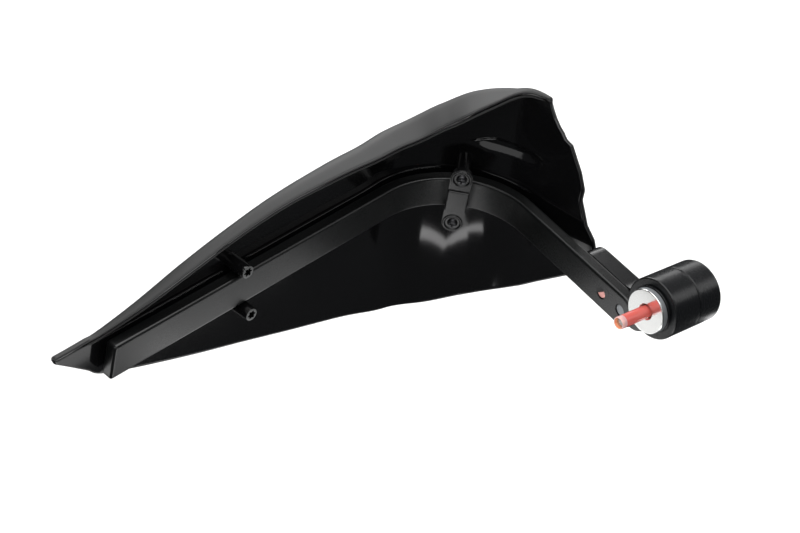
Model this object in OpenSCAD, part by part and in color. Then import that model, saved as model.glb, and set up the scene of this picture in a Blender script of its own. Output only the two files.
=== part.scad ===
/* [Handlebar end] */
// Diameter of the spacer face that meets the handlebar's end, mm
seat_d = 22; // [20:0.5:24]
// Thickness of the spacer, mm
spacer_t = 4.5; // [3:0.5:8]
// Diameter of the arm's eye and of the end weight, mm
eye_d = 30.4; // [28:0.2:34]
// Length of the arm's eye along the bar, mm
eye_l = 16.5; // [14:0.5:20]
// Length of the end weight, mm
weight_l = 14.7; // [10:0.1:20]
// Thread diameter of the long bolt, mm
bolt_d = 5; // [5:1:6]
// Length of bolt standing out of the spacer, mm
bolt_out = 16.2; // [12:0.2:20]
// Wall of the thread sleeve, mm
sleeve_wall = 0.6; // [0.4:0.1:1]
// Droop of the bar end against the guard, degrees
droop = 5.5; // [0:0.5:10]
// Sweep of the bar end against the guard, degrees
sweep = 8.5; // [4:0.5:12]

/* [Backbone] */
// Width of the flat bar, mm
bar_w = 18; // [16:0.5:20]
// Thickness of the flat bar, mm
bar_t = 6.5; // [5.5:0.5:8]
// Straight length inboard of the bend, mm
run_l = 176; // [150:1:190]
// Radius of the bend on the rider's side, mm
bend_r = 44; // [38:1:50]
// Angle of the bend, degrees
bend_a = 103; // [98:0.5:106]
// Length from the bend to the rear screw hole, mm
tail_l = 80.3; // [74:0.1:86]
// Distance between the two arm screws, mm
screw_pitch = 14.5; // [13:0.5:18]
// Height of the bar's centre line below the bar end's axis, mm
bar_drop = 19.5; // [17:0.5:22]
// Slant of the bar's inboard end, longer at the bottom, degrees
end_slant = 14; // [0:1:20]

/* [Connector arm] */
// Thickness of the arm's plate, mm
arm_t = 9.5; // [8:0.5:11]
// Radius of the hollow where the arm turns up into its eye, mm
arm_fillet = 13; // [8:1:16]

/* [Guard shell] */
// Wall of the moulded shell, mm
wall = 2.8; // [2.2:0.1:3.5]
// Gap from the backbone to the shell's wall, mm
wall_gap = 2; // [1.5:0.1:4]
// How far the lower skirt curls towards the rider, mm
skirt_curl = 13; // [4:1:18]
// Scale of the shell's height above and below the bar
height_scale = 1; // [0.9:0.02:1.1]
// Distance of each clamp post from the bar's centre line, mm
post_z = 14.5; // [13.5:0.5:18]
// Position of the spare posts from the bar's inboard end, mm
spare_u = 78; // [60:1:100]
// Position of the clamp from the bar's inboard end, mm
clamp_u = 216; // [205:1:225]

/* [Saddle clamp] */
// Width of the clamp along the bar, mm
clamp_w = 11.5; // [10:0.5:14]
// Lean of the clamp across the bar, its top outboard, degrees
clamp_lean = 5; // [0:1:8]
// Thickness of the clamp's feet, mm
foot_t = 3; // [2.5:0.5:4]
// Diameter of the clamp screws, mm
tap_d = 3.3; // [3:0.1:4]

/* [Hidden] */
$fn = 48;
eps = 0.01;
arc_l = bend_r * bend_a * PI / 180;
hole_u = run_l + arc_l + tail_l;
// the rear hole's place from the spacer's face, seen from above, and the tail's own directions
hole_at = [11.31, 19.86];
tail_dir = [cos(bend_a), -sin(bend_a)];
tail_out = [sin(bend_a), cos(bend_a)];
// centre of the bend, so placed that the tail ends at that hole
bend_x = hole_at[0] - bend_r * tail_out[0] - tail_l * tail_dir[0];
bend_y = hole_at[1] - bend_r * tail_out[1] - tail_l * tail_dir[1];
// where the bar end's axis, seen in the guard's frame, crosses the middle of the arm's plate
axis = [cos(droop) * cos(sweep), -cos(droop) * sin(sweep), -sin(droop)];
cross_l = (bar_t + arm_t / 2 + hole_at * tail_out) / ([axis[0], axis[1]] * tail_out);
eye_x = (cross_l * [axis[0], axis[1]] - hole_at) * tail_dir;
eye_z = bar_drop + cross_l * axis[2];
plate_r = eye_d / 2 - 0.7;
// rounded lobe of the arm below its eye, and the arm's length before the rear hole
lobe = [2, -1];
lobe_r = 11;
hole_gap = 31;
// extra length that the slanted end is cut from
end_more = bar_w / 2 * tan(end_slant) + 1;
post_out = 4.3;
post_r = 3.4;
// foot of a post, kept clear of the bar's edge
post_base = min(5, post_z - bar_w / 2 - 0.6);
head_r = 4.25;
head_h = 5;
arm_head_r = 5;
arm_head_h = 5;
arm_off = bar_t + arm_t;
col_arm = [0.09, 0.09, 0.095];

// the guard's own plane, turned to the bar end's axis
module guard() {
    rotate([0, -droop, 0]) rotate([0, 0, sweep]) children();
}

// angle turned by the bar's path at a length u from its inboard end
function turn(u) = u <= run_l ? 0 : u >= run_l + arc_l ? bend_a : (u - run_l) / bend_r * 180 / PI;

// point of the rider-side face, at a length u and an outward offset
function face(u, off, z) =
    let (t = turn(u), n = [sin(t), cos(t)],
        over = u < run_l ? u - run_l : max(0, u - run_l - arc_l),
        c = [bend_x, bend_y] + (bend_r + off) * n + over * [cos(t), -sin(t)])
    [c[0], c[1], z - bar_drop];

// local frame on the bar: x along it, y outward, z up
module at_bar(u) {
    p = face(u, 0, 0);
    translate(p) rotate([0, 0, -turn(u)]) children();
}

// the same frame at the clamp, leaning with it
module at_clamp() {
    at_bar(clamp_u) rotate([0, clamp_lean, 0]) children();
}

module along_x(x0, x1, r) {
    translate([x0, 0, 0]) rotate([0, 90, 0]) cylinder(h = x1 - x0, r = r);
}

// a turned piece along x, with a bevel at each end
module turned(x0, x1, r, b0, b1) {
    rotate([90, 0, 90]) rotate_extrude()
        polygon([[0, x0], [r - b0, x0], [r, x0 + b0], [r, x1 - b1], [r - b1, x1], [0, x1]]);
}

module hex_recess(across, depth) {
    linear_extrude(height = depth) circle(r = across / sqrt(3), $fn = 6);
}

// lengths, heights and depths of the shell at sixteen matched stations
low_u = [-23.6, -17, -8, -1, 20, 50, 79, 110, 144, 172, 199.5, 222.7, 244, 265, 281, 297.5];
low_z = [9, 3.2, -5, -11.5, -20.2, -31.2, -40.3, -50, -59.6, -68.8, -73.5, -68.6, -57, -39, -25, -10.4];
top_u = [-24.2, -17, -8, 0, 22, 50, 80, 108, 138, 166, 190, 206, 218, 229, 238, 246.5];
top_z = [11.6, 11.6, 11.9, 12.2, 17.6, 26, 32.7, 37.6, 38.9, 37.3, 37.3, 44.5, 52.1, 57.1, 60.2, 59.6];
lip_d = [1.2, 1.3, 1.4, 1.5, 3.5, 7.3, 7.9, 10, 12, 13.4, 16, 20, 22.4, 19.1, 7.7, 1.2];
// stepped outboard edge: share of the height, then length along the bar
rim = [[0, 297.5], [0.15, 293.7], [0.22, 291.7], [0.3, 286], [0.46, 278], [0.54, 277.3], [0.648, 272.3],
    [0.8, 262.4], [0.815, 258], [0.87, 252.8], [0.911, 250.2], [0.96, 248], [1, 246.5]];
rows = [0, 0.07, 0.15, 0.22, 0.3, 0.38, 0.46, 0.54, 0.6, 0.648, 0.7, 0.75, 0.8, 0.815, 0.87, 0.911, 0.96, 1];
nu = 50;
nw = len(rows);
nv = nw + 7;

function clamp01(t) = max(0, min(1, t));
function smooth(x, a, b) = let (t = clamp01((x - a) / (b - a))) t * t * (3 - 2 * t);
function at(v, i) = v[max(0, min(len(v) - 1, i))];
// smooth curve through a table, x counted in stations
function curve(v, x) =
    let (i = min(len(v) - 2, floor(x)), t = x - i,
        a = at(v, i - 1), b = at(v, i), c = at(v, i + 1), d = at(v, i + 2))
    0.5 * (2 * b + (c - a) * t + (2 * a - 5 * b + 4 * c - d) * t * t + (3 * b - a - 3 * c + d) * t * t * t);

function base_off(u) = bar_t + wall_gap + 1.5 * smooth(u, 160, 200) + 7.5 * smooth(u, 245, 300);
function lean(u) = 0.05 + 0.17 * smooth(u, 120, 215);
// outward offset of the wall's inner face
function wall_off(u, z) = base_off(u) + (z > 10 ? lean(u) * (z - 10) : 0)
    - (z < -10 ? skirt_curl * pow((-10 - z) / 60, 2) : 0);

// inner face: wall rows, a rounded crown, then the flange back to the lip
function inner(x, j) =
    let (ub = curve(low_u, x), ut = curve(top_u, x), zb = curve(low_z, x) * height_scale,
        zt = curve(top_z, x) * height_scale, d = curve(lip_d, x),
        r = min(7, 0.7 * d), k = smooth(x, 11.5, 15))
    j < nw ?
        let (v = rows[j], z = zb + v * (zt - r - zb), q = ub + v * (ut - ub),
            u = q + k * (lookup(v, rim) - (low_u[15] + v * (top_u[15] - low_u[15]))))
        face(u, wall_off(u, z), z)
    :
        let (ue = ut + k * (rim[12][1] - top_u[15]), o0 = wall_off(ue, zt - r), o1 = wall_off(ue, zt),
            g = (j - nw + 1) / 4, t = min(1, g), s = max(0, g - 1) / 0.75,
            o = (1 - t) * (1 - t) * o0 + 2 * t * (1 - t) * o1 + t * t * (o1 - r),
            z = (1 - t) * (1 - t) * (zt - r) + 2 * t * (1 - t) * zt + t * t * (zt - 0.12 * r))
        face(ue, o - s * (d - r), z - s * 0.12 * (d - r));

xs = [for (i = [0:nu]) 15 * i / nu];
grid = [for (i = [0:nu]) [for (j = [0:nv - 1]) inner(xs[i], j)]];
function unit(v) = v / max(norm(v), 0.000001);
function dir(a) = [cos(a), sin(a)];
function normal_at(i, j) =
    let (a = grid[min(nu, i + 1)][j] - grid[max(0, i - 1)][j],
        b = grid[i][min(nv - 1, j + 1)] - grid[i][max(0, j - 1)])
    unit(cross(b, a));
function id(i, j, k) = (i * nv + j) * 2 + k;

// the moulded skin: an inner and an outer face closed round their edge
module skin() {
    pts = [for (i = [0:nu]) for (j = [0:nv - 1]) for (k = [0, 1]) grid[i][j] + k * wall * normal_at(i, j)];
    inside = [for (i = [0:nu - 1]) for (j = [0:nv - 2]) for (f = [0, 1])
        f == 0 ? [id(i, j, 0), id(i + 1, j, 0), id(i + 1, j + 1, 0)]
            : [id(i, j, 0), id(i + 1, j + 1, 0), id(i, j + 1, 0)]];
    outside = [for (i = [0:nu - 1]) for (j = [0:nv - 2]) for (f = [0, 1])
        f == 0 ? [id(i, j, 1), id(i + 1, j + 1, 1), id(i + 1, j, 1)]
            : [id(i, j, 1), id(i, j + 1, 1), id(i + 1, j + 1, 1)]];
    low = [for (i = [0:nu - 1]) for (f = [0, 1])
        f == 0 ? [id(i, 0, 0), id(i, 0, 1), id(i + 1, 0, 1)] : [id(i, 0, 0), id(i + 1, 0, 1), id(i + 1, 0, 0)]];
    lip = [for (i = [0:nu - 1]) for (f = [0, 1])
        f == 0 ? [id(i, nv - 1, 0), id(i + 1, nv - 1, 1), id(i, nv - 1, 1)]
            : [id(i, nv - 1, 0), id(i + 1, nv - 1, 0), id(i + 1, nv - 1, 1)]];
    tip = [for (j = [0:nv - 2]) for (f = [0, 1])
        f == 0 ? [id(0, j, 0), id(0, j + 1, 1), id(0, j, 1)] : [id(0, j, 0), id(0, j + 1, 0), id(0, j + 1, 1)]];
    end = [for (j = [0:nv - 2]) for (f = [0, 1])
        f == 0 ? [id(nu, j, 0), id(nu, j, 1), id(nu, j + 1, 1)] : [id(nu, j, 0), id(nu, j + 1, 1), id(nu, j + 1, 0)]];
    all = concat(inside, outside, low, lip, tip, end);
    polyhedron(points = pts, faces = [for (f = all) [f[2], f[1], f[0]]]);
}

// thin raised line that marks the backbone's channel
module rib(u0, u1, n) {
    z0 = bar_w / 2 - 0.3;
    pts = [for (i = [0:n]) let (u = u0 + (u1 - u0) * i / n, o = wall_off(u, z0))
        for (q = [[1, 0], [-0.9, 0.2], [-0.9, 1], [1, 1.2]]) face(u, o + q[0], z0 + q[1])];
    sides = [for (i = [0:n - 1]) for (k = [0:3]) for (f = [0, 1])
        let (a = 4 * i + k, b = 4 * i + (k + 1) % 4)
        f == 0 ? [a, b, b + 4] : [a, b + 4, a + 4]];
    polyhedron(points = pts, faces = concat([[0, 3, 2], [0, 2, 1]], sides,
        [[4 * n, 4 * n + 1, 4 * n + 2], [4 * n, 4 * n + 2, 4 * n + 3]]));
}

// screw post from the shell's wall to a stated height above the bar's face
module post(u, z) {
    root = wall_off(u, z) + 1.4;
    translate([0, -post_out, z]) rotate([-90, 0, 0]) cylinder(h = post_out + root, r = post_r);
    translate([0, -1.5, z]) rotate([-90, 0, 0]) cylinder(h = 1.5 + root, r = post_base);
}

module post_core(z) {
    translate([0, -post_out - 1, z]) rotate([-90, 0, 0]) cylinder(h = 13, r = tap_d / 2 + 0.05);
}

module guard_shell() {
    color([0.035, 0.035, 0.04]) guard() difference() {
        union() {
            skin();
            rib(0, spare_u - 7, 10);
            rib(spare_u + 7, clamp_u - 9, 22);
            rib(clamp_u + 9, 284, 14);
            for (s = [-1, 1]) {
                at_bar(spare_u) post(spare_u, s * post_z);
                at_clamp() post(clamp_u, s * post_z);
            }
            at_bar(spare_u) translate([-5, bar_t, -bar_w / 2]) cube([10, wall_gap + 1.5, bar_w]);
            translate([bend_x, bend_y, -bar_drop - bar_w / 2]) rotate([0, 0, 90 - turn(clamp_u) - 6])
                rotate_extrude(angle = 12) translate([bend_r + bar_t, 0]) square([wall_gap + 2.5, bar_w]);
        }
        for (s = [-1, 1]) {
            at_bar(spare_u) post_core(s * post_z);
            at_clamp() post_core(s * post_z);
        }
    }
}

// everything on the inner side of the bar's path, out to a radius r
module path_side(r, start, more) {
    circle(r = r);
    translate([-run_l - start, 0]) square([run_l + start, r]);
    rotate(-bend_a) square([tail_l + more, r]);
}

// the flat bar seen from above, about the centre of its bend
module bar_plan() {
    difference() {
        path_side(bend_r + bar_t, end_more, 0);
        path_side(bend_r, end_more + 1, 1);
        polygon([[0, 0], 3 * bend_r * dir(170), 4 * bend_r * dir(218), 3 * bend_r * dir(267)]);
    }
}

module backbone() {
    color([0.3, 0.31, 0.32]) guard() translate([bend_x, bend_y, -bar_drop]) difference() {
        union() {
            linear_extrude(height = bar_w, center = true) bar_plan();
            rotate([0, 0, -bend_a]) translate([tail_l, bend_r, 0]) rotate([-90, 0, 0]) cylinder(h = bar_t, r = bar_w / 2);
        }
        rotate([0, 0, -bend_a]) for (x = [0, -screw_pitch]) translate([tail_l + x, bend_r - 1, 0])
            rotate([-90, 0, 0]) cylinder(h = bar_t + 2, r = 3.05);
        translate([-run_l, bend_r + bar_t / 2, 0]) rotate([0, end_slant, 0]) translate([-run_l / 2, 0, 0])
            cube([run_l, 4 * bar_t, 3 * bar_w], center = true);
    }
}

module saddle_clamp() {
    color([0.05, 0.05, 0.055]) guard() difference() {
        union() {
            at_clamp() {
                for (s = [-1, 1]) translate([0, -post_out - foot_t, s * post_z]) rotate([-90, 0, 0])
                    cylinder(h = foot_t, r = clamp_w / 2);
                translate([-clamp_w / 2, -post_out - foot_t, -post_z]) cube([clamp_w, foot_t, 2 * post_z]);
            }
            intersection() {
                at_clamp() translate([-clamp_w / 2, -post_out - foot_t - 1, -bar_w / 2 + 1])
                    cube([clamp_w, post_out + foot_t + 2, bar_w - 2]);
                translate([bend_x, bend_y, -bar_drop - bar_w]) cylinder(h = 2 * bar_w, r = bend_r);
            }
        }
        for (s = [-1, 1]) at_clamp() translate([0, -post_out - foot_t - 1, s * post_z]) rotate([-90, 0, 0])
            cylinder(h = foot_t + 2, r = tap_d / 2 + 0.25);
    }
}

// pan-head screw with a cross recess, standing on the clamp's foot
module clamp_screw(s) {
    color([0.12, 0.12, 0.125]) guard() at_clamp() translate([0, -post_out - foot_t, s * post_z]) rotate([-90, 0, 0])
        difference() {
            union() {
                translate([0, 0, -1.2]) cylinder(h = 1.2, r = 2.8);
                translate([0, 0, -2]) cylinder(h = 0.8, r1 = 2, r2 = 2.8);
                cylinder(h = foot_t + 9, r = tap_d / 2);
            }
            for (a = [0, 90]) rotate([0, 0, a]) translate([-1.4, -0.35, -3]) cube([2.8, 0.7, 2.2]);
        }
}

module clamp_screw_upper() {
    clamp_screw(1);
}

module clamp_screw_lower() {
    clamp_screw(-1);
}

// outline of the arm's plate: x along the bar from its rear hole, y up
module arm_outline() {
    c2 = [eye_x, eye_z];
    d = c2 - lobe;
    phi = atan2(d[1], d[0]);
    alpha = acos((lobe_r - plate_r) / norm(d));
    n = [cos(phi - alpha), sin(phi - alpha)];
    fz = bar_w / 2 + arm_fillet;
    fx = eye_x - sqrt(pow(plate_r + arm_fillet, 2) - pow(eye_z - fz, 2));
    f = [fx, fz];
    e = c2 + plate_r * unit(f - c2);
    translate([-hole_gap, 0]) circle(r = bar_w / 2);
    translate([-hole_gap, -bar_w / 2]) square([hole_gap + 1, bar_w]);
    translate(lobe) circle(r = lobe_r);
    translate(c2) circle(r = plate_r);
    polygon([lobe, lobe + lobe_r * n, c2 + plate_r * n, c2]);
    difference() {
        polygon([[fx, 0], [fx, bar_w / 2], e, c2, lobe]);
        translate(f) circle(r = arm_fillet);
    }
}

module connector_arm() {
    color(col_arm) difference() {
        union() {
            guard() at_bar(hole_u) translate([0, arm_off, 0]) rotate([90, 0, 0])
                linear_extrude(height = arm_t) arm_outline();
            turned(spacer_t, spacer_t + eye_l, eye_d / 2, 0.8, 0.6);
        }
        along_x(spacer_t + eye_l, spacer_t + eye_l + 20, eye_d / 2 + 0.6);
        along_x(0, 40, bolt_d / 2 + 0.9);
        for (x = [0, -screw_pitch]) guard() at_bar(hole_u) translate([x, 0, 0]) rotate([-90, 0, 0]) {
            cylinder(h = 30, r = 3.3);
            translate([0, 0, arm_off - arm_head_h - 0.5]) cylinder(h = 20, r = arm_head_r + 0.3);
        }
    }
}

// cap screw through the arm into the tapped bar, its end 1 mm inside the bar's face
module arm_screw(x) {
    color([0.14, 0.14, 0.15]) guard() at_bar(hole_u) translate([x, 0, 0]) rotate([-90, 0, 0]) difference() {
        union() {
            translate([0, 0, 1]) cylinder(h = arm_off - arm_head_h - 0.5, r = 3);
            translate([0, 0, arm_off - arm_head_h - 0.5]) cylinder(h = arm_head_h, r = arm_head_r);
        }
        translate([0, 0, arm_off - 3.5]) hex_recess(5, 4);
    }
}

module arm_screw_front() {
    arm_screw(-screw_pitch);
}

module arm_screw_rear() {
    arm_screw(0);
}

module bar_spacer() {
    color([0.85, 0.85, 0.84]) difference() {
        turned(0, spacer_t, seat_d / 2, 0.4, 0.3);
        along_x(-1, spacer_t + 1, bolt_d / 2 + 0.9);
        rotate([0, 90, 0]) translate([0, 0, -eps]) cylinder(h = 0.8, r1 = 4.15, r2 = bolt_d / 2 + 0.9);
    }
}

module end_weight() {
    x0 = spacer_t + eye_l;
    color(col_arm) difference() {
        turned(x0, x0 + weight_l, eye_d / 2, 0.8, 1.6);
        along_x(x0 - 1, x0 + weight_l + 1, bolt_d / 2 + 0.4);
        along_x(x0 + weight_l - head_h - 1, x0 + weight_l + 1, head_r + 0.4);
    }
}

module end_bolt() {
    x1 = spacer_t + eye_l + weight_l - 1;
    color([0.45, 0.45, 0.46]) difference() {
        union() {
            turned(-bolt_out, x1 - head_h + 1, bolt_d / 2, 0.5, 0);
            turned(x1 - head_h, x1, head_r, 0, 0.4);
        }
        translate([x1 - 2.6, 0, 0]) rotate([0, 90, 0]) hex_recess(4, 4);
    }
}

// thin tube over the bare thread, a little longer than it
module thread_sleeve() {
    color([1, 0.35, 0.33, 0.8]) difference() {
        along_x(-bolt_out - 1.5, -0.1, bolt_d / 2 + sleeve_wall);
        along_x(-bolt_out - 3, 5, bolt_d / 2 + 0.02);
    }
}

guard_shell();
backbone();
saddle_clamp();
clamp_screw_upper();
clamp_screw_lower();
connector_arm();
arm_screw_front();
arm_screw_rear();
bar_spacer();
end_weight();
end_bolt();
thread_sleeve();
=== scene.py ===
# %% [markdown]
# # A motorcycle hand guard, dressed and lit
# The guard is a moulded shell that shields the rider's hand. A bent flat bar, the backbone, carries it. An arm
# joins the backbone to the handlebar's end, where a weight, a spacer and a long bolt hold it.
#
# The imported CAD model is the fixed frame. Its nodes could be given finishes as they are, but their facets and
# plain edges would show in the gloss. So every node gets a finer piece, which sits where the node is.

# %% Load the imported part
import bpy
import bmesh
import numpy as np
from mathutils import Matrix


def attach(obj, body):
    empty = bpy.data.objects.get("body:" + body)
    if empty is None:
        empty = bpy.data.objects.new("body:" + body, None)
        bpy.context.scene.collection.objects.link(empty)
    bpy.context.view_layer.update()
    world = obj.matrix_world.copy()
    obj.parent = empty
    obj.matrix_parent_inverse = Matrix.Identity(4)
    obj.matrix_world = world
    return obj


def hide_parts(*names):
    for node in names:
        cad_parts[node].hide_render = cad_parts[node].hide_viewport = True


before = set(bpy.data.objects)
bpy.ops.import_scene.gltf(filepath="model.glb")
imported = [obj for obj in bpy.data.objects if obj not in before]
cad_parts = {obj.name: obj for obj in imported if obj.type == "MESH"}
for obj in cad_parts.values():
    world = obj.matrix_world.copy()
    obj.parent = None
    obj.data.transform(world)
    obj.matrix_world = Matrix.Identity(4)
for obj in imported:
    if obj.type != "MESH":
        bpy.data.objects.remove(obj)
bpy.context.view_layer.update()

# %% [markdown]
# The shell and the backbone are bent in a plane that droops 5.5 and sweeps 8.5 degrees against the bar end's
# axis. Each point could be worked out in the part's frame at once, but the sums would be hard to read. So the
# shapes are drawn in millimetres in the guard's own plane, and one matrix turns them into the part's frame,
# which has +X along the bar end's axis, +Y forward and +Z up.

# %% The guard's own plane
def turned_about(axis, degrees):
    """Rotation matrix about the y or z axis, by the right-hand rule."""
    c, s = np.cos(np.radians(degrees)), np.sin(np.radians(degrees))
    if axis == "z":
        return np.array([[c, -s, 0], [s, c, 0], [0, 0, 1]])
    return np.array([[c, 0, s], [0, 1, 0], [-s, 0, c]])


GUARD = turned_about("y", -5.5) @ turned_about("z", 8.5)


def metres(points, guard=True):
    """Points in mm, in the guard's plane or already in the part's frame, to metres in the part's frame."""
    points = np.asarray(points, float)
    return (points @ GUARD.T if guard else points) * 0.001


print("100 mm along the guard's x axis, in metres:", metres([100, 0, 0]).round(4))

# %% [markdown]
# The backbone's path is a straight run, a bend of one radius and a straight tail. A curve object could follow
# it, but the shell has to follow it as well, at a distance. So a point is given by three numbers: u, its length
# along the bar's rider side, off, its distance outward from that side, and z, its height above the bar's
# middle. Whatever is drawn in them follows the bar by itself.

# %% Path of the backbone
RUN, TAIL, BEND_R, BEND_A = 176.0, 80.3, 44.0, np.radians(103)
ARC = BEND_R * BEND_A
REAR = RUN + ARC + TAIL
REAR_X, REAR_Y, DROP = 11.31, 19.86, 19.5
BEND_X = REAR_X - BEND_R * np.sin(BEND_A) - TAIL * np.cos(BEND_A)
BEND_Y = REAR_Y - BEND_R * np.cos(BEND_A) + TAIL * np.sin(BEND_A)


def along(u, off, z):
    """Bend's centre, plus radius and offset along the local normal, plus the straight lengths past the bend."""
    u, off, z = np.broadcast_arrays(u, off, z)
    t = np.clip((u - RUN) / BEND_R, 0, BEND_A)
    over = np.minimum(u - RUN, 0) + np.maximum(u - RUN - ARC, 0)
    x = BEND_X + (BEND_R + off) * np.sin(t) + over * np.cos(t)
    y = BEND_Y + (BEND_R + off) * np.cos(t) - over * np.sin(t)
    return np.stack([x, y, z - DROP], -1)


print("backbone's length to the rear screw hole, mm:", round(REAR, 1))

# %% [markdown]
# Colours are given as sRGB hex values, while shaders work in linear light, so one function converts
# them. A second small function adds any shader node with its settings and links.

# %% Colours and nodes
def linear(hex_colour):
    """sRGB hex to linear RGBA."""
    c = np.array([int(hex_colour[i:i + 2], 16) for i in (1, 3, 5)]) / 255
    c = np.where(c <= 0.04045, c / 12.92, ((c + 0.055) / 1.055) ** 2.4)
    return (*c.tolist(), 1.0)


def node(tree, kind, inputs=None, **settings):
    """One shader node; an input is a value or another node's output socket."""
    made = tree.nodes.new(kind)
    for key, value in settings.items():
        setattr(made, key, value)
    for key, value in (inputs or {}).items():
        if isinstance(value, bpy.types.NodeSocket):
            tree.links.new(value, made.inputs[key])
        else:
            made.inputs[key].default_value = value
    return made


print("mid grey in linear light:", round(linear("#808080")[0], 3))

# %% [markdown]
# Every finish here is smooth to the touch: moulded plastic, powder coat, anodising, plating. What tells them
# apart is how sharply they reflect. A picture of each could be wrapped on, but noise on Object coordinates
# needs no unwrapping and has the right size everywhere. Fine noise is the grain, broad noise the slight change
# from place to place, and the grain also gives a bump too small to see but for its sparkle.

# %% One function for all finishes
def finish(name, colour, rough, metal=0.0, grain_mm=1.0, grain=0.02, bump=0.0, patch_mm=30.0, patch=0.03,
           stretch=(1, 1, 1), **shader):
    """Roughness = rough + grain x fine noise + patch x broad noise, with a bump from the fine noise."""
    made = bpy.data.materials.new(name)
    made.use_nodes = True
    tree = made.node_tree
    shade = tree.nodes["Principled BSDF"]
    place = node(tree, "ShaderNodeTexCoord").outputs["Object"]
    place = node(tree, "ShaderNodeMapping", {"Vector": place, "Scale": stretch}).outputs["Vector"]
    fine = node(tree, "ShaderNodeTexNoise", {"Vector": place, "Scale": 1000 / grain_mm, "Detail": 3.0})
    broad = node(tree, "ShaderNodeTexNoise", {"Vector": place, "Scale": 1000 / patch_mm, "Detail": 2.0})
    grainy = node(tree, "ShaderNodeMapRange",
                  {"Value": fine.outputs["Fac"], "To Min": rough - grain, "To Max": rough + grain})
    patchy = node(tree, "ShaderNodeMapRange", {"Value": broad.outputs["Fac"], "To Min": -patch, "To Max": patch})
    both = node(tree, "ShaderNodeMath", {0: grainy.outputs["Result"], 1: patchy.outputs["Result"]},
                operation="ADD", use_clamp=True)
    tree.links.new(both.outputs[0], shade.inputs["Roughness"])
    shade.inputs["Base Color"].default_value = linear(colour)
    shade.inputs["Metallic"].default_value = metal
    for key, value in shader.items():
        shade.inputs[key.replace("_", " ")].default_value = value
    if bump:
        lift = node(tree, "ShaderNodeBump",
                    {"Height": fine.outputs["Fac"], "Strength": bump, "Distance": 0.0001})
        tree.links.new(lift.outputs["Normal"], shade.inputs["Normal"])
    return made


INSIDE = finish("moulded_gloss_plastic", "#0b0b0c", 0.09, grain_mm=0.6, grain=0.01, bump=0.03, patch=0.02)
OUTSIDE = finish("moulded_satin_plastic", "#262626", 0.55, grain_mm=0.35, grain=0.04, bump=0.12)
print("the shell's finishes:", INSIDE.name, OUTSIDE.name)

# %% [markdown]
# New pieces are numpy grids put straight into a mesh. Quads run between neighbouring rows and columns, and a
# direction that closes on itself wraps round. Points that fall together, as at a pole, are merged, and then
# the faces are turned to point outwards.

# %% From arrays to pieces
def grid_faces(rows, cols, wrap_rows=False, wrap_cols=False, start=0):
    """Quads of a rows by cols grid of points."""
    i = np.arange(rows if wrap_rows else rows - 1)[:, None]
    j = np.arange(cols if wrap_cols else cols - 1)[None, :]
    i2, j2 = (i + 1) % rows, (j + 1) % cols
    corners = np.broadcast_arrays(i * cols + j, i2 * cols + j, i2 * cols + j2, i * cols + j2)
    return start + np.stack(corners, -1).reshape(-1, 4)


def fitted(made, stands_for):
    """A finished object rides with the part under the root body, and the CAD nodes that it stands for are hidden.
    """
    bpy.context.scene.collection.objects.link(made)
    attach(made, "root")
    if stands_for:
        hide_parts(*stands_for)
    return made


def piece(name, points, faces, materials, stands_for=(), picks=None, angle=35, merge=1e-7):
    """A mesh from points in metres and faces, with its finishes; picks gives each face its finish by number."""
    mesh = bpy.data.meshes.new(name)
    mesh.from_pydata(np.asarray(points, float).reshape(-1, 3).tolist(), [], [list(f) for f in faces])
    for m in materials if isinstance(materials, list) else [materials]:
        mesh.materials.append(m)
    if picks is not None:
        mesh.polygons.foreach_set("material_index", np.asarray(picks, np.int32))
    form = bmesh.new()
    form.from_mesh(mesh)
    bmesh.ops.remove_doubles(form, verts=form.verts, dist=merge)
    bmesh.ops.dissolve_degenerate(form, edges=form.edges, dist=merge)
    bmesh.ops.recalc_face_normals(form, faces=form.faces)
    form.to_mesh(mesh)
    form.free()
    mesh.shade_smooth()
    mesh.set_sharp_from_angle(angle=np.radians(angle))
    return fitted(bpy.data.objects.new(name, mesh), stands_for)


print("quads of a 3 by 4 grid:", len(grid_faces(3, 4)))

# %% [markdown]
# The camera could be placed by eye. Instead it was found by fitting the bar, the screw holes and the round end
# to the photograph together: a 63 mm lens, 646 mm from the spacer, looking from the rider's side and above.
# Two angles and a roll give its axes, and the place of the spacer's face in the picture gives its position.

# %% Camera
LENS, SENSOR, PICTURE_W = 63.0, 36.0, 800
DISTANCE, AZIMUTH, ELEVATION, ROLL = 645.9, np.radians(-48.27), np.radians(40.23), np.radians(4.22)
FACE_RIGHT_PX, FACE_DOWN_PX = 245.25, 45.25
focal_px = LENS / SENSOR * PICTURE_W
back = np.array([np.sin(AZIMUTH) * np.cos(ELEVATION), -np.cos(AZIMUTH) * np.cos(ELEVATION), np.sin(ELEVATION)])
right = np.array([np.cos(AZIMUTH), np.sin(AZIMUTH), 0])
up = np.cross(back, right)
right, up = right * np.cos(ROLL) + up * np.sin(ROLL), up * np.cos(ROLL) - right * np.sin(ROLL)
seen = np.array([FACE_RIGHT_PX / focal_px, -FACE_DOWN_PX / focal_px, -1]) * DISTANCE
eye = -(np.stack([right, up, back], 1) @ seen)
camera = bpy.data.objects.new("camera", bpy.data.cameras.new("camera"))
bpy.context.scene.collection.objects.link(camera)
pose = np.eye(4)
pose[:3, :3] = GUARD @ np.stack([right, up, back], 1)
pose[:3, 3] = metres(eye)
camera.matrix_world = Matrix(pose.tolist())
camera.data.lens, camera.data.sensor_width = LENS, SENSOR
camera.data.clip_start, camera.data.clip_end = 0.05, 20.0
bpy.context.scene.camera = camera
bpy.context.scene.view_settings.view_transform = "Standard"
print("camera at, m:", pose[:3, 3].round(3))

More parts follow.
